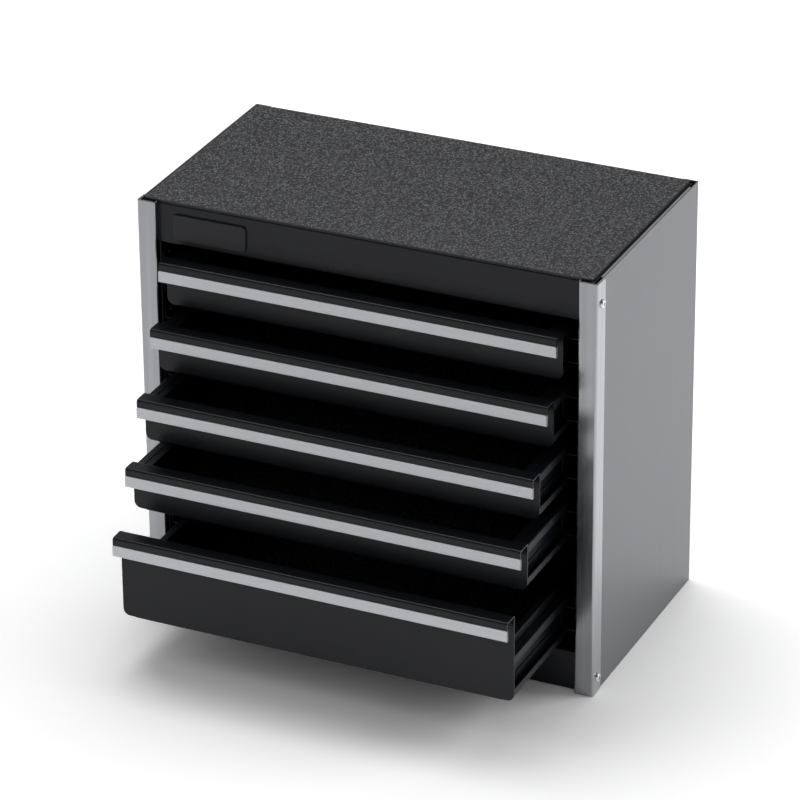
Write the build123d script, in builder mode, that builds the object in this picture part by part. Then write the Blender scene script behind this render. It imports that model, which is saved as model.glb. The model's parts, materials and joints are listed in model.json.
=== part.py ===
"""Desktop steel drawer box: folded cabinet, corner trims and five drawers on friction slides.

Millimetres. X runs to the right, Y to the back and Z up. The origin is the centre of the
cabinet's footprint, on the surface that it stands on. Positions across the width are given
for the right-hand side, and left-hand pieces are mirrored from them.
"""

from build123d import *
import os

# ------------------------------------------------------------------ cabinet
width = 330.0                # over the corner trims
depth = 177.5                # trim face to back
sheet = 0.8                  # painted steel of the cabinet, trays and slides
bend = 1.2                   # outer radius of a fold in that sheet
clearance = 0.35             # running gap between a drawer's slide and its rail

base_rail_height = 29.0      # top edge of the bottom rail above the floor
base_rail_lift = 0.5         # gap under the bottom rail
fascia_height = 29.0         # plain band above the drawers
rail_setback = 4.5           # rails and fascia behind the trims' face
side_rise = 0.8              # side panels above the top sheet
return_flange = 11.0         # folded edges of the side panels, front and back
rail_return = 9.0            # folded edges of the rails and the fascia

# ------------------------------------------------------------------ top
side_reveal = 2.5            # dark slot between the top sheet and each side panel
tab_width = 1.6              # ledge that closes part of that slot
tab_front = 10.0             # tab's start behind the fascia
tab_back = 10.0              # tab's end before the back
top_skirt = 12.0             # folded edges of the top at its sides and back
top_edge_round = 0.5
mat_thickness = 2.0
mat_shift = 1.3              # the mat lies this far left of the middle
mat_corner = 3.0
plate_width = 54.3           # name plate
plate_height = 18.8
plate_thickness = 1.5
plate_corner = 3.0
plate_drop = 6.4             # plate's top below the top sheet
plate_inset = 10.6           # plate's outer end inside the trim's edge

# ------------------------------------------------------------------ corner trims
trim_front = 13.6            # face width
trim_side = 13.3             # side flange
trim_sheet = 0.8
trim_bend = 1.5
trim_corner = 3.5            # rounded corners of the side flange
screw_head_diameter = 6.0
screw_head_height = 1.7
screw_diameter = 3.0
screw_length = 7.0
screw_setback = 7.6          # behind the trim's face
screw_low = 11.5             # lower screws above the floor
screw_high = 16.0            # upper screws below the top
screw_head_round = 1.2
cross_width = 0.8            # recess for the driver
cross_length = 3.0
cross_depth = 0.8

# ------------------------------------------------------------------ slide uprights and rails
upright_depth = 20.0         # channel, front to back
upright_inset = 1.0          # channel's web inside the trim's inner edge
rail_end_gap = 2.4           # rails end before the back panel
rail_start = 2.0             # rails start behind the fascia's back
foot_height = 5.0            # rail's riveted feet
rivet_head = 3.6
rivet_diameter = 2.4
rivet_dome = 0.8
rivet_taper = 35.0           # slope of the head's side, degrees
back_rivet_rows = 4
back_rivet_margin = 30.0

# ------------------------------------------------------------------ drawers
shallow_front = 35.4         # front height, drawers 1 to 4
deep_front = 65.0            # front height, drawer 5
shallow_count = 4
first_gap = 6.0              # fascia to the first drawer
drawer_gap = 6.6             # one drawer to the next
last_gap = 4.6               # last drawer to the bottom rail
side_gap = 8.7               # drawer front to the trims
shown_openings = (3.0, 18.0, 40.0, 59.5, 80.5)   # how far each drawer stands out at rest

front_sheet = 1.0
pull_reach = 11.4            # front of the lip to the front panel
lip_height = 13.0
pull_bend = 0.8              # inner radius of the pull's folds
foot_bend = 1.6              # outer radius of the fold along the front's bottom edge
front_return = 8.0           # folded bottom edge of the front
front_corner = 5.0
return_relief = 9.0          # plain ends of the bottom edge
strip_height = 8.1
strip_sheet = 0.6
strip_corner = 1.2

tray_back_gap = 14.5         # closed tray to the back of the cabinet
tray_corner = 2.0
wall_inset = 7.4             # tray wall inside the end of the front
tray_lift = 1.0              # tray's floor on the folded bottom edge
deep_wall = 38.6             # tray wall of drawer 5
hem_width = 4.8              # folded top edge of the tray walls
liner_thickness = 1.2
liner_gap = 0.5

slide_lift = 3.2             # slide channel above the front's bottom edge
slide_height = 29.6
slide_lip = 5.5
slide_overhang = 0.7         # channel inside the end of the front
slide_step = 10.2            # height of the doubled lower web
rail_crown_gap = 1.3         # rail's crown to the doubled web

# ------------------------------------------------------------------ derived places
half = width / 2
front = -depth / 2
back = depth / 2
panel_face = half - trim_sheet
panel_inner = panel_face - sheet
trim_edge = half - trim_front
rail_face = front + rail_setback
rail_back = rail_face + sheet

front_heights = [shallow_front] * shallow_count + [deep_front]
deep_top = base_rail_height + last_gap + deep_front
shallow_pitch = shallow_front + drawer_gap
front_tops = [deep_top + shallow_pitch * (shallow_count - i) for i in range(shallow_count + 1)]
fascia_bottom = front_tops[0] + first_gap
top_face = fascia_bottom + fascia_height
height = top_face + side_rise
top_under = top_face - sheet
top_half = panel_inner - side_reveal

front_half = trim_edge - side_gap
wall_face = front_half - wall_inset
slide_face = front_half - slide_overhang
upright_web = trim_edge - upright_inset
upright_back = back - 2 * sheet
top_back = upright_back - clearance
rail_front_end = rail_back + rail_start
rail_back_end = upright_back - rail_end_gap
rail_rise = slide_height / 2 - slide_lip - clearance
rail_foot_face = upright_web - sheet
rail_crown = wall_face + 2 * sheet + rail_crown_gap
tray_length = depth - tray_back_gap

tolerance = 0.01             # for picking edges by their height

os.makedirs("parts", exist_ok=True)


def keep(piece, label):
    """Name a finished piece and write it to its own file."""
    piece.part.label = label
    export_step(piece.part, f"parts/{label}.step")


def keep_pair(right, label):
    """Write the right-hand piece and its mirror image."""
    with BuildPart() as left:
        mirror(right.part, about=Plane.YZ)
    keep(right, label.format(side="right"))
    keep(left, label.format(side="left"))


def folded_outline(points, radii, gauge, side=Side.RIGHT):
    """Edges round sheet metal of one gauge, folded along the points and lying on one side."""
    with BuildLine(Plane.XY) as outline:
        FilletPolyline(*points, radius=radii)
        offset(amount=gauge, side=side)
    return outline.edges()


def rivet_on(sheets):
    """Rivet along Z through some sheets whose outer face is the XY plane."""
    with BuildPart() as rivet:
        with BuildSketch(Plane.XY):
            Circle(rivet_head / 2)
        extrude(amount=rivet_dome, taper=rivet_taper)
        with BuildSketch(Plane.XY):
            Circle(rivet_diameter / 2)
        extrude(amount=-sheets * sheet)
        with BuildSketch(Plane.XY.offset(-sheets * sheet)):
            Circle(rivet_head / 2)
        extrude(amount=-rivet_dome)
    return rivet.part


# ------------------------------------------------------------------ cabinet shell
def make_side_panels():
    """C-shaped in plan: a folded edge behind the trim and one round the back."""
    face = front + trim_sheet
    plan = [
        (panel_face - return_flange, back),
        (panel_face, back),
        (panel_face, face),
        (panel_face - return_flange, face),
    ]
    outline = folded_outline(plan, bend, sheet)
    with BuildPart() as panel:
        with BuildSketch(Plane.XY):
            make_face(outline)
        extrude(amount=height)
        for z in trim_screw_heights():
            with Locations(Plane((panel_face, front + screw_setback, z), z_dir=(1, 0, 0))):
                Hole(screw_diameter / 2 + clearance / 2, depth=2 * sheet)
        for z in back_rivet_heights():
            with Locations(Plane((back_rivet_x(), back, z), z_dir=(0, 1, 0))):
                Hole(rivet_diameter / 2, depth=2 * sheet)
    keep_pair(panel, "{side}_side_panel")


def make_back_panel():
    """Flat sheet inside the side panels' back folds."""
    with BuildPart() as panel:
        with BuildSketch(Plane.XZ.offset(-(back - sheet))):
            Rectangle(2 * (panel_inner - bend), height, align=(Align.CENTER, Align.MIN))
        extrude(amount=sheet)
        for z in back_rivet_heights():
            for x in (-back_rivet_x(), back_rivet_x()):
                with Locations(Plane((x, back - sheet, z), z_dir=(0, 1, 0))):
                    Hole(rivet_diameter / 2, depth=2 * sheet)
    keep(panel, "back_panel")


def make_base_panel():
    """Flat sheet that the cabinet stands on."""
    with BuildPart() as panel:
        with BuildSketch(Plane.XY):
            with Locations((0, rail_back)):
                Rectangle(
                    2 * panel_inner,
                    upright_back - rail_back,
                    align=(Align.CENTER, Align.MIN),
                )
        extrude(amount=sheet)
    keep(panel, "base_panel")


def make_front_bottom_rail():
    """Face with a folded edge along its top."""
    section = [
        (rail_face, base_rail_lift),
        (rail_face, base_rail_height),
        (rail_face + rail_return, base_rail_height),
    ]
    outline = folded_outline(section, bend, sheet)
    with BuildPart() as rail:
        with BuildSketch(Plane.YZ):
            make_face(outline)
        extrude(amount=panel_inner, both=True)
        # the folded edge ends short of the uprights
        with BuildSketch(Plane.XY.offset(base_rail_lift)):
            with Locations((panel_inner, rail_back), (-panel_inner, rail_back)):
                Rectangle(
                    2 * (panel_inner - upright_web + clearance),
                    2 * rail_return,
                    align=(Align.CENTER, Align.MIN),
                )
        extrude(amount=height, mode=Mode.SUBTRACT)
    keep(rail, "front_bottom_rail")


def make_top_panel():
    """One sheet: flat top, folded down in front as the fascia and inside its other edges."""
    section = [
        (rail_face + rail_return, fascia_bottom),
        (rail_face, fascia_bottom),
        (rail_face, top_face),
        (top_back, top_face),
        (top_back, top_face - top_skirt),
    ]
    outline = folded_outline(section, bend, sheet)
    middle = (upright_back + rail_back) / 2
    skirt_length = upright_back - 2 * upright_depth - rail_back
    with BuildPart() as panel:
        with BuildSketch(Plane.YZ):
            make_face(outline)
        extrude(amount=top_half, both=True)
        side_ends = panel.edges().filter_by(Axis.Y).group_by(Axis.Z)[-1]
        fillet(side_ends, top_edge_round)
        # the folds at the fascia's foot and at the back end short of the uprights
        beside = 2 * (top_half - upright_web + clearance)
        with BuildSketch(Plane.XY.offset(fascia_bottom)):
            with Locations((top_half, rail_back), (-top_half, rail_back)):
                Rectangle(beside, 2 * rail_return, align=(Align.CENTER, Align.MIN))
        extrude(amount=fascia_height / 2, mode=Mode.SUBTRACT)
        with BuildSketch(Plane.XY.offset(top_under)):
            with Locations((top_half, back), (-top_half, back)):
                Rectangle(beside, 2 * upright_depth, align=(Align.CENTER, Align.MAX))
        extrude(amount=-top_skirt, mode=Mode.SUBTRACT)
        # folded edges at the sides
        with BuildSketch(Plane.XY.offset(top_face - top_skirt)):
            with Locations((top_half, middle)):
                Rectangle(sheet, skirt_length, align=(Align.MAX, Align.CENTER))
            mirror(about=Plane.YZ)
        extrude(amount=top_skirt - sheet / 2)
        # ledges towards the side panels
        with BuildSketch(Plane.XY.offset(top_under)):
            with Locations((top_half - sheet, rail_face + tab_front)):
                Rectangle(
                    tab_width + sheet,
                    back - tab_back - rail_face - tab_front,
                    align=(Align.MIN, Align.MIN),
                )
            mirror(about=Plane.YZ)
        extrude(amount=sheet)
    keep(panel, "top_panel")


def make_top_mat():
    """Textured mat as large as the top sheet, laid a little to the left."""
    with BuildPart() as mat:
        with BuildSketch(Plane.XY.offset(top_face)):
            with Locations((-mat_shift, rail_face + clearance)):
                RectangleRounded(
                    2 * top_half,
                    top_back - rail_face - clearance,
                    mat_corner,
                    align=(Align.CENTER, Align.MIN),
                )
        extrude(amount=mat_thickness)
    keep(mat, "top_mat")


def make_name_plate():
    """Plain raised plate on the fascia."""
    with BuildPart() as plate:
        with BuildSketch(Plane.XZ.offset(-rail_face)):
            with Locations((-trim_edge + plate_inset, top_face - plate_drop)):
                RectangleRounded(
                    plate_width,
                    plate_height,
                    plate_corner,
                    align=(Align.MIN, Align.MAX),
                )
        extrude(amount=plate_thickness)
        chamfer(plate.faces().sort_by(Axis.Y)[0].edges(), plate_thickness / 3)
    keep(plate, "name_plate")


# ------------------------------------------------------------------ corner trims and fasteners
def trim_screw_heights():
    return [screw_low, height - screw_high]


def back_rivet_heights():
    span = top_under - 2 * back_rivet_margin
    return [back_rivet_margin + span * i / (back_rivet_rows - 1) for i in range(back_rivet_rows)]


def back_rivet_x():
    return panel_face - return_flange / 2


def make_corner_trims():
    """Stainless angle with a folded inner edge that reaches back to the rails."""
    plan = [
        (half, front + trim_side),
        (half, front),
        (trim_edge, front),
        (trim_edge, rail_face),
    ]
    outline = folded_outline(plan, trim_bend, trim_sheet)
    with BuildPart() as trim:
        with BuildSketch(Plane.XY):
            make_face(outline)
        extrude(amount=height)
        side_ends = trim.edges().filter_by(Axis.X).group_by(Axis.Y)[-1]
        fillet(side_ends, trim_corner)
        for z in trim_screw_heights():
            with Locations(Plane((half, front + screw_setback, z), z_dir=(1, 0, 0))):
                Hole(screw_diameter / 2 + clearance / 2, depth=2 * trim_sheet)
    keep_pair(trim, "{side}_corner_trim")


def make_trim_screws():
    """Round-head cross-recess screws, two in each trim's side flange."""
    with BuildPart() as screw:
        with BuildSketch(Plane.XY):
            Circle(screw_head_diameter / 2)
        extrude(amount=screw_head_height)
        fillet(screw.edges().group_by(Axis.Z)[-1], screw_head_round)
        with BuildSketch(Plane.XY):
            Circle(screw_diameter / 2)
        extrude(amount=-screw_length)
        with BuildSketch(Plane.XY.offset(screw_head_height)):
            Rectangle(cross_length, cross_width)
            Rectangle(cross_width, cross_length)
        extrude(amount=-cross_depth, mode=Mode.SUBTRACT)
    with BuildPart() as screws:
        for z in trim_screw_heights():
            with Locations(Plane((half, front + screw_setback, z), z_dir=(1, 0, 0))):
                add(screw.part)
        mirror(about=Plane.YZ)
    keep(screws, "trim_screws")


def make_rail_rivets():
    """One rivet in the upper foot at each end of every rail."""
    rivet = rivet_on(2)
    with BuildPart() as rivets:
        for z in rail_rivet_heights():
            for y in rail_rivet_places():
                with Locations(Plane((rail_foot_face, y, z), z_dir=(-1, 0, 0))):
                    add(rivet)
        mirror(about=Plane.YZ)
    keep(rivets, "rail_rivets")


def make_back_rivets():
    """Rivets through the back folds, the back panel and the rear uprights."""
    rivet = rivet_on(3)
    with BuildPart() as rivets:
        for z in back_rivet_heights():
            with Locations(Plane((back_rivet_x(), back, z), z_dir=(0, 1, 0))):
                add(rivet)
        mirror(about=Plane.YZ)
    keep(rivets, "back_rivets")


# ------------------------------------------------------------------ uprights and rails
def slide_bottom(top, tall):
    return top - tall + slide_lift


def slide_centre(top, tall):
    return slide_bottom(top, tall) + slide_height / 2


def rail_rivet_height(centre):
    return centre + rail_rise + (foot_height + sheet) / 2


def rail_rivet_heights():
    centres = [slide_centre(top, tall) for top, tall in zip(front_tops, front_heights)]
    return [rail_rivet_height(centre) for centre in centres]


def rail_rivet_places():
    return [rail_back + upright_depth / 2, upright_back - upright_depth / 2]


def make_uprights():
    """Channels that carry the rails, front and back, open towards the side panel."""
    for place, near in (("front", rail_back), ("rear", upright_back - upright_depth)):
        far = near + upright_depth
        plan = [
            (panel_inner, far),
            (upright_web, far),
            (upright_web, near),
            (panel_inner, near),
        ]
        outline = folded_outline(plan, bend, sheet, Side.LEFT)
        with BuildPart() as upright:
            with BuildSketch(Plane.XY.offset(sheet)):
                make_face(outline)
            extrude(amount=top_under - sheet)
            for z in rail_rivet_heights():
                hole = Plane((upright_web, (near + far) / 2, z), z_dir=(-1, 0, 0))
                with Locations(hole):
                    Hole(rivet_diameter / 2, depth=2 * sheet)
            if place == "rear":
                for z in back_rivet_heights():
                    with Locations(Plane((back_rivet_x(), far, z), z_dir=(0, 1, 0))):
                        Hole(rivet_diameter / 2, depth=2 * sheet)
        keep_pair(upright, "{side}_" + place + "_upright")


def make_cabinet_rails(number, top, tall):
    """Hat-section rail that the drawer's slide channel wraps."""
    z = slide_centre(top, tall)
    section = [
        (rail_foot_face, z - rail_rise - foot_height),
        (rail_foot_face, z - rail_rise),
        (rail_crown, z - rail_rise),
        (rail_crown, z + rail_rise),
        (rail_foot_face, z + rail_rise),
        (rail_foot_face, z + rail_rise + foot_height),
    ]
    inner = bend - sheet
    radii = [inner, bend, bend, inner]
    outline = folded_outline(section, radii, sheet)
    with BuildPart() as rail:
        with BuildSketch(Plane.XZ.offset(-rail_front_end)):
            make_face(outline)
        extrude(amount=-(rail_back_end - rail_front_end))
        for y in rail_rivet_places():
            with Locations(Plane((rail_foot_face, y, rail_rivet_height(z)), z_dir=(-1, 0, 0))):
                Hole(rivet_diameter / 2, depth=2 * sheet)
    keep_pair(rail, f"drawer_{number}_" + "{side}_rail")


# ------------------------------------------------------------------ drawers
def make_front(number, top, tall, face):
    """Front panel, pull shelf and lip folded from one sheet."""
    bottom = top - tall
    lip_back = face - pull_reach + front_sheet
    section = [
        (face + front_return, bottom),
        (face, bottom),
        (face, top - front_sheet),
        (lip_back, top - front_sheet),
        (lip_back, top - lip_height),
    ]
    outline = folded_outline(section, [foot_bend, pull_bend, pull_bend], front_sheet)
    with BuildPart() as panel:
        with BuildSketch(Plane.YZ):
            make_face(outline)
        extrude(amount=front_half, both=True)
        # plain ends beside the folded bottom edge
        relief_z = bottom + tray_lift
        for side in (-1, 1):
            with BuildSketch(Plane.XY.offset(bottom - front_sheet)):
                with Locations((side * front_half, face)):
                    Rectangle(2 * return_relief, 3 * front_return)
            extrude(amount=relief_z - bottom + front_sheet, mode=Mode.SUBTRACT)
        ends = panel.edges().filter_by(Axis.Y).filter_by_position(
            Axis.Z, relief_z - tolerance, relief_z + tolerance
        )
        fillet(ends.group_by(Axis.X)[0] + ends.group_by(Axis.X)[-1], front_corner)
    keep(panel, f"drawer_{number}_front")


def make_pull_strip(number, top, face):
    """Aluminium strip folded up over the lip's lower edge."""
    outside = face - pull_reach - strip_sheet
    inside = face - pull_reach + front_sheet + strip_sheet
    strip_bottom = top - lip_height - strip_sheet
    strip_top = strip_bottom + strip_height
    section = [
        (outside, strip_top),
        (outside, strip_bottom),
        (inside, strip_bottom),
        (inside, strip_top),
    ]
    outline = folded_outline(section, strip_sheet, strip_sheet, Side.LEFT)
    with BuildPart() as strip:
        with BuildSketch(Plane.YZ):
            make_face(outline)
        extrude(amount=front_half, both=True)
        top_ends = strip.edges().filter_by(Axis.Y).group_by(Axis.Z)[-1]
        fillet(top_ends, strip_corner)
    keep(strip, f"drawer_{number}_pull_strip")


def make_tray(number, top, tall, face, wall):
    """Open tray with a folded edge along its sides and back."""
    floor = top - tall + tray_lift
    near = face + front_sheet
    far = face + tray_length
    middle = (near + far) / 2
    with BuildPart() as tray:
        with BuildSketch(Plane.XY.offset(floor)):
            with Locations((0, middle)):
                RectangleRounded(2 * wall_face, far - near, tray_corner)
        extrude(amount=wall)
        fillet(tray.edges().group_by(Axis.Z)[0], bend)
        with BuildSketch(Plane.XY.offset(floor + sheet)):
            with Locations((0, middle)):
                RectangleRounded(
                    2 * (wall_face - sheet), far - near - 2 * sheet, tray_corner - sheet
                )
        extrude(amount=wall, mode=Mode.SUBTRACT)
        with BuildSketch(Plane.XY.offset(floor + wall - sheet)):
            with Locations((0, far - sheet / 2)):
                Rectangle(
                    2 * (wall_face - tray_corner),
                    hem_width - sheet / 2,
                    align=(Align.CENTER, Align.MAX),
                )
            hem_length = far - near - 2 * tray_corner
            with Locations((wall_face - sheet / 2, middle), (-wall_face + hem_width, middle)):
                Rectangle(hem_width - sheet / 2, hem_length, align=(Align.MAX, Align.CENTER))
        extrude(amount=sheet)
    keep(tray, f"drawer_{number}_tray")


def make_liner(number, top, tall, face):
    """Textured sheet that lies on the tray's floor."""
    floor = top - tall + tray_lift + sheet
    near = face + front_sheet + sheet + liner_gap
    far = face + tray_length - sheet - liner_gap
    with BuildPart() as liner:
        with BuildSketch(Plane.XY.offset(floor)):
            with Locations((0, (near + far) / 2)):
                RectangleRounded(
                    2 * (wall_face - sheet - liner_gap), far - near, tray_corner
                )
        extrude(amount=liner_thickness)
    keep(liner, f"drawer_{number}_liner")


def make_runners(number, top, tall, face):
    """Slide channel on the tray's wall, open outwards, with a doubled lower web."""
    low = slide_bottom(top, tall)
    high = low + slide_height
    section = [
        (slide_face, high - slide_lip),
        (slide_face, high),
        (wall_face, high),
        (wall_face, low),
        (slide_face, low),
        (slide_face, low + slide_lip),
    ]
    near = face + front_sheet
    outline = folded_outline(section, bend, sheet, Side.LEFT)
    with BuildPart() as runner:
        with BuildSketch(Plane.XZ.offset(-near)):
            make_face(outline)
            with Locations((wall_face + sheet / 2, low + sheet / 2)):
                Rectangle(1.5 * sheet, slide_step - sheet / 2, align=(Align.MIN, Align.MIN))
        extrude(amount=-(face + tray_length - near))
    keep_pair(runner, f"drawer_{number}_" + "{side}_runner")


def make_drawer(number, top, tall, opening):
    """Every piece of one drawer, standing out by its opening."""
    face = front - opening
    wall = slide_lift - tray_lift + slide_height
    if tall == deep_front:
        wall = deep_wall
    make_front(number, top, tall, face)
    make_pull_strip(number, top, face)
    make_tray(number, top, tall, face, wall)
    make_liner(number, top, tall, face)
    make_runners(number, top, tall, face)
    make_cabinet_rails(number, top, tall)


make_side_panels()
make_back_panel()
make_base_panel()
make_front_bottom_rail()
make_top_panel()
make_top_mat()
make_name_plate()
make_corner_trims()
make_trim_screws()
make_rail_rivets()
make_back_rivets()
make_uprights()
for index, opening in enumerate(shown_openings):
    make_drawer(index + 1, front_tops[index], front_heights[index], opening)
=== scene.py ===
"""Desktop steel drawer box: finishes, small details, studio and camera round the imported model.

Metres, in the model's own frame: X to the right, Y to the back, Z up, floor at z = 0.
"""

import json
import math
import random

import bmesh
import bpy
from mathutils import Matrix, Vector


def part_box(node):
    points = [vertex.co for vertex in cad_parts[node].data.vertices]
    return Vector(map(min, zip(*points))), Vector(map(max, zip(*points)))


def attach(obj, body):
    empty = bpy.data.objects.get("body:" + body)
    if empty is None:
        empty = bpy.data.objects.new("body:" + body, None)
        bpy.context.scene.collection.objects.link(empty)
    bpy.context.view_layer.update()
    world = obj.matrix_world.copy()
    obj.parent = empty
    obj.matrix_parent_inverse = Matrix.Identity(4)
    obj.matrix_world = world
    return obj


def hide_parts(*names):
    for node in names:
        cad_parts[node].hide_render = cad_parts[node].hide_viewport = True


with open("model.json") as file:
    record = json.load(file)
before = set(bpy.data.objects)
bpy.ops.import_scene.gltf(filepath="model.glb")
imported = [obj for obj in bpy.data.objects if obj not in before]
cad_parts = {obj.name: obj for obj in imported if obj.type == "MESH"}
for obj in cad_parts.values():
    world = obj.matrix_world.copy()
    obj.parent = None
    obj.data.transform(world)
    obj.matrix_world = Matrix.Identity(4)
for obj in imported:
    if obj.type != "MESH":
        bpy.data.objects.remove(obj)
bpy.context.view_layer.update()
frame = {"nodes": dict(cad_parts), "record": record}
nodes = frame["nodes"]

MM = 0.001
DRAWERS = range(1, 6)

# ------------------------------------------------------------------ studio levels
FLOOR_SIZE = 12.0
FLOOR_PLAIN = 0.75           # as the light on the object meets it
FLOOR_SEEN = 1.32            # as the camera and reflections see it, shown as white
WORLD_PLAIN = 0.35
WHITE_BELOW = 0.22           # sine of the height where the white surroundings end
CEILING_ABOVE = 0.5          # and where the darker ceiling begins
CEILING = 0.1
LAMPS = (                    # name, place, target, size, power
    ("top_lamp", (-0.4, 0.5, 2.0), (0, 0, 0.1), (1.6, 1.2), 22),
    ("right_lamp", (1.9, 0.9, 1.3), (0.5, 0.3, 0.0), (1.2, 1.0), 15),
    ("left_lamp", (-1.9, -0.7, 1.3), (0, 0, 0.1), (1.2, 1.2), 3),
)

# ------------------------------------------------------------------ finish levels
BLACK = 0.004
BLACK_COOL = 0.9             # how much bluer than neutral the black paint is
SIDE_COOL = 0.1

# ------------------------------------------------------------------ pebbled sheets
MAT_GRAIN = 2.0 * MM
MAT_RELIEF = 0.6 * MM
LINER_GRAIN = 2.3 * MM
LINER_RELIEF = 0.3 * MM
SHEET_CORNER = 3.0 * MM
PEBBLE_SCATTER = 0.28
PEBBLE_LOWEST = 0.25         # lowest pebble's top, as a share of the relief
SADDLE = 0.3
PIT_TOP = 0.7                # share of the sheet's thickness where the pits end
PIT_BLEND = 0.12
COLOUR_GRAIN = 1 / 1.2       # the painted highlight's pebbles and the tone's patches, as shares of the grain
COLOUR_PATCH = 1 / 0.7
PIT_PAINTED_SHADE = 0.02             # the pits' painted shade and the grains' painted highlight, as shares of the level
GRAIN_PAINTED_HIGHLIGHT = 3.2
MAT_LEVEL = 0.038
LINER_LEVEL = 0.02

# ------------------------------------------------------------------ edges
SMOOTH_BELOW = math.radians(35)
EDGE_BREAK = 0.2 * MM
PLATE_BREAK = 0.4 * MM
FLANGE_START = 164.0 * MM    # the trims' side flanges lie beyond this; they get a painted highlight
FLANGE_BLEND = 0.3 * MM
LEDGE_START = 161.1 * MM     # the bright band on the top sheet's two side ledges
LEDGE_END = 162.5 * MM
LEDGE_BLEND = 0.1 * MM

# ------------------------------------------------------------------ camera
# The camera's place and turn were fitted to the photograph's straight edges.
CAMERA_PLACE = (1.15538, -2.52093, 1.54417)
CAMERA_TARGET = (-0.01593, 0.00125, 0.14293)
CAMERA_ROLL = math.radians(-0.497)
FOCAL_PIXELS = 4574.5
FRAME_PIXELS = 800
SENSOR = 36.0


def make_camera():
    """A long lens at the photograph's angle."""
    data = bpy.data.cameras.new("camera")
    data.sensor_width = SENSOR
    data.lens = FOCAL_PIXELS / FRAME_PIXELS * SENSOR
    data.clip_start = 0.1
    data.clip_end = 50.0
    camera = bpy.data.objects.new("camera", data)
    bpy.context.scene.collection.objects.link(camera)
    forward = (Vector(CAMERA_TARGET) - Vector(CAMERA_PLACE)).normalized()
    right = forward.cross(Vector((0, 0, 1))).normalized()
    up = right.cross(forward)
    turned_right = math.cos(CAMERA_ROLL) * right + math.sin(CAMERA_ROLL) * up
    turned_up = math.cos(CAMERA_ROLL) * up - math.sin(CAMERA_ROLL) * right
    turn = Matrix((turned_right, turned_up, -forward)).transposed()
    camera.matrix_world = Matrix.Translation(CAMERA_PLACE) @ turn.to_4x4()
    bpy.context.scene.camera = camera


# ------------------------------------------------------------------ materials
class Finish:
    """A material's node tree, with short calls for the nodes that the finishes share."""

    def __init__(self, name, color, roughness, metallic=0.0):
        self.material = bpy.data.materials.new(name)
        self.material.use_nodes = True
        self.tree = self.material.node_tree
        self.shader = self.tree.nodes["Principled BSDF"]
        self.put("Base Color", (*color, 1.0))
        self.put("Roughness", roughness)
        self.put("Metallic", metallic)

    def put(self, socket, value):
        self.shader.inputs[socket].default_value = value

    def node(self, kind, **inputs):
        made = self.tree.nodes.new(kind)
        for key, value in inputs.items():
            made.inputs[key.replace("_", " ")].default_value = value
        return made

    def link(self, source, target):
        self.tree.links.new(source, target)

    def stretched(self, scale):
        """Object coordinates, stretched by a scale for each axis."""
        coordinates = self.node("ShaderNodeTexCoord")
        mapping = self.node("ShaderNodeMapping")
        mapping.inputs["Scale"].default_value = scale
        self.link(coordinates.outputs["Object"], mapping.inputs["Vector"])
        return mapping.outputs["Vector"]

    def noise(self, scale, detail=2.0, stretch=(1, 1, 1), roughness=0.5):
        made = self.node("ShaderNodeTexNoise", Scale=scale, Detail=detail, Roughness=roughness)
        self.link(self.stretched(stretch), made.inputs["Vector"])
        return made.outputs["Fac"]

    def span(self, factor, low, high, start=0.3, end=0.7):
        """A value that runs from low to high as factor goes from start to end."""
        made = self.node("ShaderNodeMapRange")
        ends = {"From Min": start, "From Max": end, "To Min": low, "To Max": high}
        for socket, value in ends.items():
            made.inputs[socket].default_value = value
        self.link(factor, made.inputs["Value"])
        return made.outputs["Result"]

    def pebbles(self, scale):
        """Distance from the nearest pebble's middle, in pebbles."""
        made = self.node("ShaderNodeTexVoronoi", Scale=scale)
        self.link(self.stretched((1, 1, 1)), made.inputs["Vector"])
        return made.outputs["Distance"]

    def sideways(self):
        """Distance from the model's middle plane, in metres."""
        coordinates = self.node("ShaderNodeTexCoord")
        place = self.node("ShaderNodeSeparateXYZ")
        self.link(coordinates.outputs["Object"], place.inputs[0])
        return self.math("ABSOLUTE", place.outputs["X"])

    def math(self, operation, *values):
        made = self.node("ShaderNodeMath")
        made.operation = operation
        for value, socket in zip(values, made.inputs):
            self.link(value, socket)
        return made.outputs[0]

    def product(self, first, second):
        return self.math("MULTIPLY", first, second)

    def sum(self, first, second):
        return self.math("ADD", first, second)

    def colors(self, factor, first, second, start=0.3, end=0.7):
        ramp = self.node("ShaderNodeValToRGB")
        ramp.color_ramp.elements[0].position = start
        ramp.color_ramp.elements[1].position = end
        ramp.color_ramp.elements[0].color = (*first, 1)
        ramp.color_ramp.elements[1].color = (*second, 1)
        self.link(factor, ramp.inputs["Fac"])
        return ramp.outputs["Color"]

    def bump(self, height, distance, strength=1.0, under=None):
        made = self.node("ShaderNodeBump", Strength=strength, Distance=distance)
        self.link(height, made.inputs["Height"])
        if under is not None:
            self.link(under, made.inputs["Normal"])
        return made.outputs["Normal"]

    def drive(self, socket, value):
        self.link(value, self.shader.inputs[socket])


def shade(level, cool=0.06):
    """One grey as a linear colour, a little cooler than neutral."""
    return (level, level * (1 + cool / 4), level * (1 + cool))


def side_paint():
    """Satin grey with faint upright streaks."""
    finish = Finish("side_paint", shade(0.175), 0.38, metallic=0.6)
    streaks = finish.noise(60, 4, stretch=(1, 6, 0.15))
    dark, pale = shade(0.158, SIDE_COOL), shade(0.176, SIDE_COOL)
    finish.drive("Base Color", finish.colors(streaks, dark, pale))
    finish.drive("Roughness", finish.span(streaks, 0.3, 0.38))
    grain = finish.noise(2500, 2)
    finish.drive("Normal", finish.bump(grain, 0.03 * MM, 0.5))
    return finish.material


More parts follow.
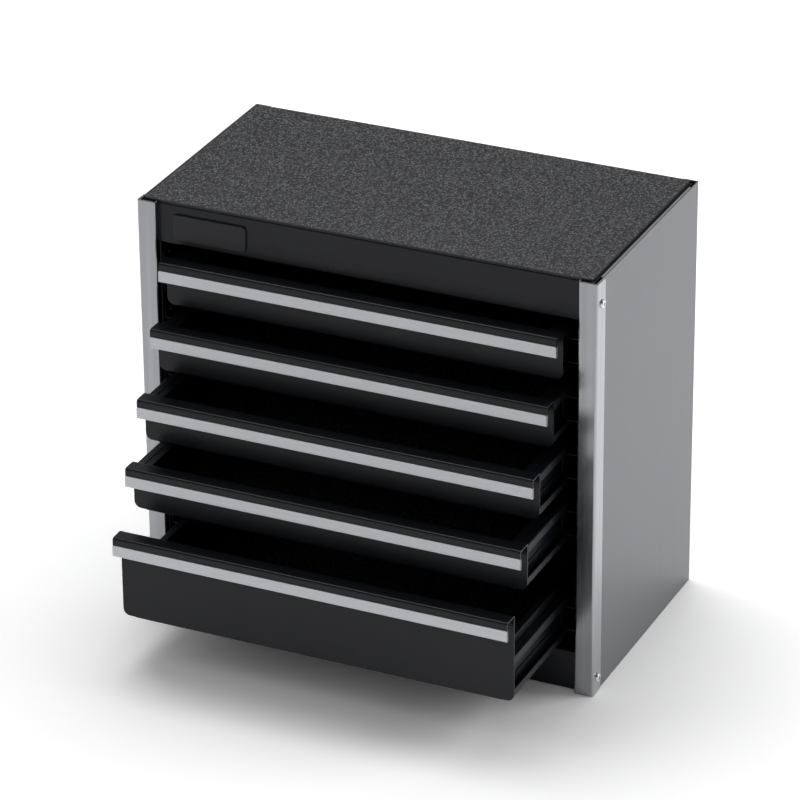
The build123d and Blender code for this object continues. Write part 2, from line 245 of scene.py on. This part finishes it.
def black_finish(name):
    """Semi-gloss black with a fine orange peel."""
    finish = Finish(name, shade(BLACK, BLACK_COOL), 0.3)
    finish.put("Specular IOR Level", 0.27)
    peel = finish.noise(700, 3)
    finish.drive("Roughness", finish.span(finish.noise(40, 3), 0.26, 0.34))
    finish.drive("Normal", finish.bump(peel, 0.03 * MM, 0.35))
    return finish


def top_sheet_paint():
    """The black paint, with a bright steel band along each of the two side ledges."""
    finish = black_finish("top_sheet_paint")
    beside = finish.sideways()
    begins = finish.span(beside, 0.0, 1.0, LEDGE_START, LEDGE_START + LEDGE_BLEND)
    ends = finish.span(beside, 1.0, 0.0, LEDGE_END, LEDGE_END + LEDGE_BLEND)
    band = finish.product(begins, ends)
    finish.drive("Metallic", band)
    black = shade(BLACK, BLACK_COOL)
    finish.drive("Base Color", finish.colors(band, black, shade(0.5), 0.0, 1.0))
    return finish.material


def inner_paint():
    """Satin black of the trays, slides and uprights."""
    finish = Finish("inner_paint", shade(BLACK, BLACK_COOL), 0.36)
    finish.put("Specular IOR Level", 0.3)
    peel = finish.noise(900, 3)
    finish.drive("Roughness", finish.span(finish.noise(60, 3), 0.36, 0.46))
    finish.drive("Normal", finish.bump(peel, 0.03 * MM, 0.4))
    return finish.material


def brushed_trim():
    """Stainless sheet, brushed upright, with a painted highlight that makes the side flanges
    paler.
    """
    finish = Finish("brushed_trim", shade(0.36), 0.22, metallic=1.0)
    finish.put("Anisotropic", 0.45)
    brushing = finish.noise(2600, 3, stretch=(1, 1, 0.01), roughness=0.6)
    beside = finish.sideways()
    # painted highlight: the side flanges are paler, standing in for their brighter reflection;
    # the broad noise is a random tone
    flange_highlight = finish.span(beside, 0.0, 0.6, FLANGE_START, FLANGE_START + FLANGE_BLEND)
    broad = finish.noise(220, 2, stretch=(1, 1, 0.02))
    tone_and_flange_highlight = finish.sum(flange_highlight, finish.span(broad, 0.0, 0.4))
    finish.drive("Base Color", finish.colors(tone_and_flange_highlight, shade(0.28), shade(0.43), 0.0, 1.0))
    finish.drive("Roughness", finish.span(brushing, 0.19, 0.27))
    finish.drive("Normal", finish.bump(brushing, 0.006 * MM, 0.5))
    return finish.material


def pull_aluminium():
    """Matte anodised strip with faint lengthwise brushing."""
    finish = Finish("pull_aluminium", (0.62, 0.63, 0.66), 0.5, metallic=0.6)
    brushing = finish.noise(900, 3, stretch=(0.02, 1, 1))
    finish.drive("Base Color", finish.colors(brushing, (0.56, 0.57, 0.6), (0.62, 0.63, 0.66)))
    finish.drive("Roughness", finish.span(brushing, 0.46, 0.56))
    finish.drive("Normal", finish.bump(brushing, 0.01 * MM, 0.4))
    return finish.material


def rubber(name, level, grain):
    """Dark rubber with painted shade in the pits and on the sheet's walls, a painted highlight
    on the grains and a patchy tone; the grains are also shinier.
    """
    finish = Finish(name, shade(level), 0.4)
    coordinates = finish.node("ShaderNodeTexCoord")
    place = finish.node("ShaderNodeSeparateXYZ")
    finish.link(coordinates.outputs["Generated"], place.inputs[0])
    # painted shade: darker in the pits and down the sheet's walls
    height = finish.span(place.outputs["Z"], 0.0, 1.0, PIT_TOP, PIT_TOP + PIT_BLEND)
    # painted highlight on the pebbles' tops and painted shade between them; the bump uses the
    # same pebbles
    pebbles = finish.span(finish.pebbles(1 / (COLOUR_GRAIN * grain)), 1.0, 0.0, 0.4, 0.54)
    patchy = finish.noise(1 / (COLOUR_PATCH * grain), 1.0)
    patches = finish.span(patchy, 0.75, 1.0, 0.35, 0.65)
    patchy_tone_and_painted_shade = finish.product(finish.product(pebbles, patches), height)
    # the pits' painted shade and the grains' painted highlight
    pits, tops = shade(PIT_PAINTED_SHADE * level), shade(GRAIN_PAINTED_HIGHLIGHT * level, 0.2)
    finish.drive("Base Color", finish.colors(patchy_tone_and_painted_shade, pits, tops, 0, 1))
    finish.drive("Roughness", finish.span(patchy_tone_and_painted_shade, 0.6, 0.28, 0.0, 1.0))
    fine = finish.bump(finish.noise(3000, 2), 0.04 * MM, 0.4)
    finish.drive("Normal", finish.bump(pebbles, 0.2 * MM, 0.8, under=fine))
    return finish.material


def plate_plastic():
    """Satin black plastic with a fine grain."""
    finish = Finish("plate_plastic", shade(0.007, 0.5), 0.36)
    finish.put("Specular IOR Level", 0.32)
    finish.drive("Normal", finish.bump(finish.noise(2500, 2), 0.02 * MM, 0.4))
    return finish.material


def bright_screw():
    """Bright zinc, slightly uneven."""
    finish = Finish("bright_screw", (0.75, 0.75, 0.76), 0.22, metallic=1.0)
    finish.drive("Roughness", finish.span(finish.noise(1500, 2), 0.16, 0.3))
    return finish.material


def rivet_steel():
    """Dark steel rivet heads."""
    finish = Finish("rivet_steel", shade(0.06), 0.35, metallic=1.0)
    finish.drive("Roughness", finish.span(finish.noise(1500, 2), 0.28, 0.45))
    return finish.material


# ------------------------------------------------------------------ pebbled sheets
def pebble_rows(width, length, grain, chance):
    """Rows of pebble tops, every other row half a grain on, with both ends on the border."""
    across = round(width / grain)
    rows = round(length / (grain * math.sqrt(3) / 2))
    for row in range(rows + 1):
        v = length * row / rows
        places = [i / across for i in range(across + 1)]
        if row % 2:
            places = [0.0] + [(i + 0.5) / across for i in range(across)] + [1.0]
        line = []
        for u in places:
            inside = 0 < row < rows and 0 < u < 1
            shift = grain * PEBBLE_SCATTER if inside else 0
            x = width * u + chance.uniform(-shift, shift)
            y = v + chance.uniform(-shift, shift)
            line.append((x, y, chance.uniform(PEBBLE_LOWEST, 1.0) if inside else 0.0))
        yield line


def zip_rows(low, high, points):
    """Triangles between two rows of point numbers, each sorted along the row."""
    a = b = 0
    while a < len(low) - 1 or b < len(high) - 1:
        go_low = b == len(high) - 1 or (
            a < len(low) - 1 and points[low[a + 1]][0] <= points[high[b + 1]][0]
        )
        if go_low:
            yield low[a], low[a + 1], high[b]
            a += 1
        else:
            yield low[a], high[b + 1], high[b]
            b += 1


def rounded(value, size, corner):
    """How far a place lies inside the nearer corner's square, from 0 to 1, with its side."""
    if value < corner:
        return (corner - value) / corner, -1
    if value > size - corner:
        return (value - size + corner) / corner, 1
    return 0.0, 0


def round_off(x, y, width, length, corner):
    """Moves a place in a square corner into the rounded one."""
    u, side_u = rounded(x, width, corner)
    v, side_v = rounded(y, length, corner)
    if not side_u or not side_v:
        return x, y
    pull_u = u * math.sqrt(1 - v * v / 2)
    pull_v = v * math.sqrt(1 - u * u / 2)
    return x + side_u * (pull_u - u) * corner, y + side_v * (pull_v - v) * corner


def pebbled_sheet(node, grain, relief, corner, fine):
    """A sheet the size of its node whose top is rounded pebbles with valleys between."""
    low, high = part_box(node)
    width, length = high.x - low.x, high.y - low.y
    chance = random.Random(node)
    points, rows = [], []
    for line in pebble_rows(width, length, grain, chance):
        rows.append(range(len(points), len(points) + len(line)))
        points.extend(line)
    triangles = [t for a, b in zip(rows, rows[1:]) for t in zip_rows(a, b, points)]
    middles = {}

    def middle(a, b):
        key = (min(a, b), max(a, b))
        if key not in middles:
            pa, pb = points[a], points[b]
            saddle = SADDLE * (pa[2] + pb[2]) / 2
            points.append(((pa[0] + pb[0]) / 2, (pa[1] + pb[1]) / 2, saddle))
            middles[key] = len(points) - 1
        return middles[key]

    faces = []
    for a, b, c in triangles:
        x, y = ((points[a][k] + points[b][k] + points[c][k]) / 3 for k in (0, 1))
        points.append((x, y, 0.0))
        pit = len(points) - 1
        for p, q in ((a, b), (b, c), (c, a)):
            if fine:
                m = middle(p, q)
                faces.extend(((p, m, pit), (m, q, pit)))
            else:
                faces.append((p, q, pit))
    places = []
    for x, y, lift in points:
        x, y = round_off(x, y, width, length, corner)
        places.append((low.x + x, low.y + y, high.z - relief * (1 - lift)))
    mesh = bpy.data.meshes.new(node + "_pebbles")
    mesh.from_pydata(places, [], faces)
    sheet = bmesh.new()
    sheet.from_mesh(mesh)
    border = [edge for edge in sheet.edges if edge.is_boundary]
    walls = bmesh.ops.extrude_edge_only(sheet, edges=border)["geom"]
    for vertex in (item for item in walls if isinstance(item, bmesh.types.BMVert)):
        vertex.co.z = low.z
    rim = [item for item in walls if isinstance(item, bmesh.types.BMEdge) and item.is_boundary]
    bmesh.ops.contextual_create(sheet, geom=rim)
    bmesh.ops.recalc_face_normals(sheet, faces=sheet.faces)
    sheet.to_mesh(mesh)
    sheet.free()
    piece = bpy.data.objects.new(node + "_pebbles", mesh)
    bpy.context.scene.collection.objects.link(piece)
    for polygon in mesh.polygons:
        polygon.use_smooth = polygon.normal.z > 0.3
    return piece


def make_pebbled_sheets():
    """The top's mat and the drawers' liners, in place of their plain solids."""
    mat = pebbled_sheet("top_mat", MAT_GRAIN, MAT_RELIEF, SHEET_CORNER, fine=True)
    mat.data.materials.append(rubber("top_rubber_pebbles", MAT_LEVEL, MAT_GRAIN))
    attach(mat, "cabinet")
    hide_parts("top_mat")
    finish = rubber("liner_rubber_pebbles", LINER_LEVEL, LINER_GRAIN)
    for number in DRAWERS:
        node = f"drawer_{number}_liner"
        liner = pebbled_sheet(node, LINER_GRAIN, LINER_RELIEF, SHEET_CORNER, fine=False)
        liner.data.materials.append(finish)
        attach(liner, f"drawer_{number}")
        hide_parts(node)


def soften(node, width, segments):
    """Smooth folds and a fine break along the sheet's edges."""
    node.data.set_sharp_from_angle(angle=SMOOTH_BELOW)
    break_edge = node.modifiers.new("edge break", "BEVEL")
    break_edge.width = width
    break_edge.segments = segments
    break_edge.limit_method = "ANGLE"
    break_edge.angle_limit = SMOOTH_BELOW
    break_edge.use_clamp_overlap = True


def dress_nodes():
    """Each CAD node gets its slot's finish, and all but the rails a fine edge break."""
    finishes = {
        "side_paint": side_paint(),
        "black_paint": black_finish("black_paint").material,
        "inner_paint": inner_paint(),
        "brushed_trim": brushed_trim(),
        "pull_aluminium": pull_aluminium(),
        "top_rubber": rubber("top_rubber", MAT_LEVEL, MAT_GRAIN),
        "liner_rubber": rubber("liner_rubber", LINER_LEVEL, LINER_GRAIN),
        "plate_plastic": plate_plastic(),
        "bright_screw": bright_screw(),
        "rivet_steel": rivet_steel(),
    }
    top_sheet = top_sheet_paint()
    for entry in frame["record"]["subparts"]:
        node = nodes[entry["node"]]
        finish = top_sheet if entry["node"] == "top_panel" else finishes[entry["material_slot"]]
        node.data.materials.clear()
        node.data.materials.append(finish)
        if entry["node"] == "name_plate":
            soften(node, PLATE_BREAK, 3)
        elif not entry["node"].endswith("_rail"):
            soften(node, EDGE_BREAK, 1)


# ------------------------------------------------------------------ studio
def pick_background(tree, plain, white):
    """The white one for the camera and for reflections, and the plain one for lighting."""
    path = tree.nodes.new("ShaderNodeLightPath")
    mirrored = tree.nodes.new("ShaderNodeMath")
    mirrored.operation = "MAXIMUM"
    tree.links.new(path.outputs["Is Glossy Ray"], mirrored.inputs[0])
    tree.links.new(path.outputs["Is Transmission Ray"], mirrored.inputs[1])
    seen = tree.nodes.new("ShaderNodeMath")
    seen.operation = "MAXIMUM"
    tree.links.new(path.outputs["Is Camera Ray"], seen.inputs[0])
    tree.links.new(mirrored.outputs[0], seen.inputs[1])
    mix = tree.nodes.new("ShaderNodeMixShader")
    tree.links.new(seen.outputs[0], mix.inputs[0])
    tree.links.new(plain.outputs[0], mix.inputs[1])
    tree.links.new(white.outputs[0], mix.inputs[2])
    return mix.outputs[0]


def make_floor():
    """Plain pale floor that shows as white, with the object's shadow."""
    bpy.ops.mesh.primitive_plane_add(size=FLOOR_SIZE)
    floor = bpy.context.object
    floor.name = "floor"
    material = bpy.data.materials.new("floor")
    material.use_nodes = True
    tree = material.node_tree
    tree.nodes.remove(tree.nodes["Principled BSDF"])
    plain = tree.nodes.new("ShaderNodeBsdfDiffuse")
    plain.inputs["Color"].default_value = (FLOOR_PLAIN, FLOOR_PLAIN, FLOOR_PLAIN, 1)
    white = tree.nodes.new("ShaderNodeBsdfDiffuse")
    white.inputs["Color"].default_value = (FLOOR_SEEN, FLOOR_SEEN, FLOOR_SEEN, 1)
    shown = pick_background(tree, plain, white)
    tree.links.new(shown, tree.nodes["Material Output"].inputs["Surface"])
    floor.data.materials.append(material)


def make_world():
    """Even soft surroundings, white to the camera and to reflections."""
    world = bpy.data.worlds.new("studio")
    bpy.context.scene.world = world
    world.use_nodes = True
    tree = world.node_tree
    plain = tree.nodes["Background"]
    plain.inputs["Color"].default_value = (1, 1, 1, 1)
    plain.inputs["Strength"].default_value = WORLD_PLAIN
    white = tree.nodes.new("ShaderNodeBackground")
    coordinates = tree.nodes.new("ShaderNodeTexCoord")
    direction = tree.nodes.new("ShaderNodeSeparateXYZ")
    tree.links.new(coordinates.outputs["Generated"], direction.inputs[0])
    ramp = tree.nodes.new("ShaderNodeValToRGB")
    ramp.color_ramp.elements[0].position = WHITE_BELOW
    ramp.color_ramp.elements[0].color = (1, 1, 1, 1)
    ramp.color_ramp.elements[1].position = CEILING_ABOVE
    ramp.color_ramp.elements[1].color = (CEILING, CEILING, CEILING, 1)
    tree.links.new(direction.outputs["Z"], ramp.inputs["Fac"])
    tree.links.new(ramp.outputs["Color"], white.inputs["Color"])
    shown = pick_background(tree, plain, white)
    tree.links.new(shown, tree.nodes["World Output"].inputs["Surface"])


def make_lamp(name, place, target, size, power):
    data = bpy.data.lights.new(name, "AREA")
    data.shape = "RECTANGLE"
    data.size, data.size_y = size
    data.energy = power
    lamp = bpy.data.objects.new(name, data)
    bpy.context.scene.collection.objects.link(lamp)
    lamp.location = place
    lamp.rotation_mode = "QUATERNION"
    lamp.rotation_quaternion = (Vector(target) - Vector(place)).to_track_quat("-Z", "Y")


def make_studio():
    make_floor()
    make_world()
    for lamp in LAMPS:
        make_lamp(*lamp)


make_camera()
dress_nodes()
make_pebbled_sheets()
make_studio()

bpy.context.scene.view_settings.view_transform = "Standard"
